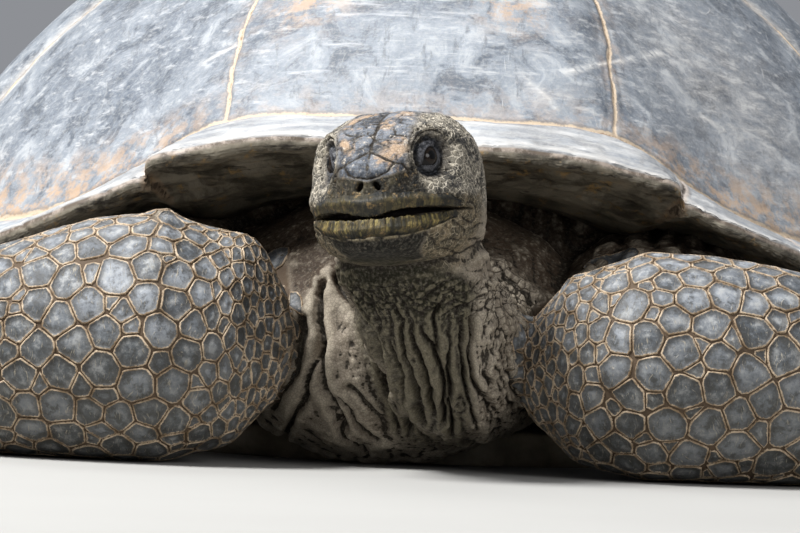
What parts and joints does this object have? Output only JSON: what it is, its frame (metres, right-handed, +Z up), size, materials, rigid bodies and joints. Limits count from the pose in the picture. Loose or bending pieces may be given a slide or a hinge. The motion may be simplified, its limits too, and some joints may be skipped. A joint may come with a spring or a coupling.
{
  "type": "giant tortoise",
  "caption": "Life-size giant tortoise resting on its plastron, head raised and turned a little, forelimbs folded under the front rim of the domed shell",
  "frame": {"origin": "on the floor, under the middle of the whole animal", "axes": "+Z up; the tortoise faces -Y; its left side is at +X; +Y is the long way of the body"},
  "size_m": [1.0222, 1.3662, 0.464],
  "materials": {
    "carapace": "dull, scratched horn plates",
    "plastron": "dull, worn horn",
    "skin": "dry wrinkled skin",
    "head_skin": "small horny scales",
    "limb_scales": "large horny scales",
    "beak": "ridged horn",
    "eye": "wet and glossy",
    "claw": "worn horn"
  },
  "bodies": {
    "root": {"carapace": "carapace", "eye_left": "eye", "eye_right": "eye", "fore_claw_left_1": "claw", "fore_claw_left_2": "claw", "fore_claw_left_3": "claw", "fore_claw_left_4": "claw", "fore_claw_left_5": "claw", "fore_claw_right_1": "claw", "fore_claw_right_2": "claw", "fore_claw_right_3": "claw", "fore_claw_right_4": "claw", "fore_claw_right_5": "claw", "forearm_left": "limb_scales", "forearm_right": "limb_scales", "forefoot_left": "limb_scales", "forefoot_right": "limb_scales", "head": "head_skin", "hind_claw_left_1": "claw", "hind_claw_left_2": "claw", "hind_claw_left_3": "claw", "hind_claw_left_4": "claw", "hind_claw_right_1": "claw", "hind_claw_right_2": "claw", "hind_claw_right_3": "claw", "hind_claw_right_4": "claw", "hindfoot_left": "limb_scales", "hindfoot_right": "limb_scales", "lower_beak": "beak", "lower_jaw": "head_skin", "neck": "skin", "neck_base": "skin", "plastron": "plastron", "shank_left": "limb_scales", "shank_right": "limb_scales", "tail": "limb_scales", "thigh_left": "skin", "thigh_right": "skin", "trunk": "skin", "upper_arm_left": "skin", "upper_arm_right": "skin", "upper_beak": "beak"}
  },
  "joints": []
}
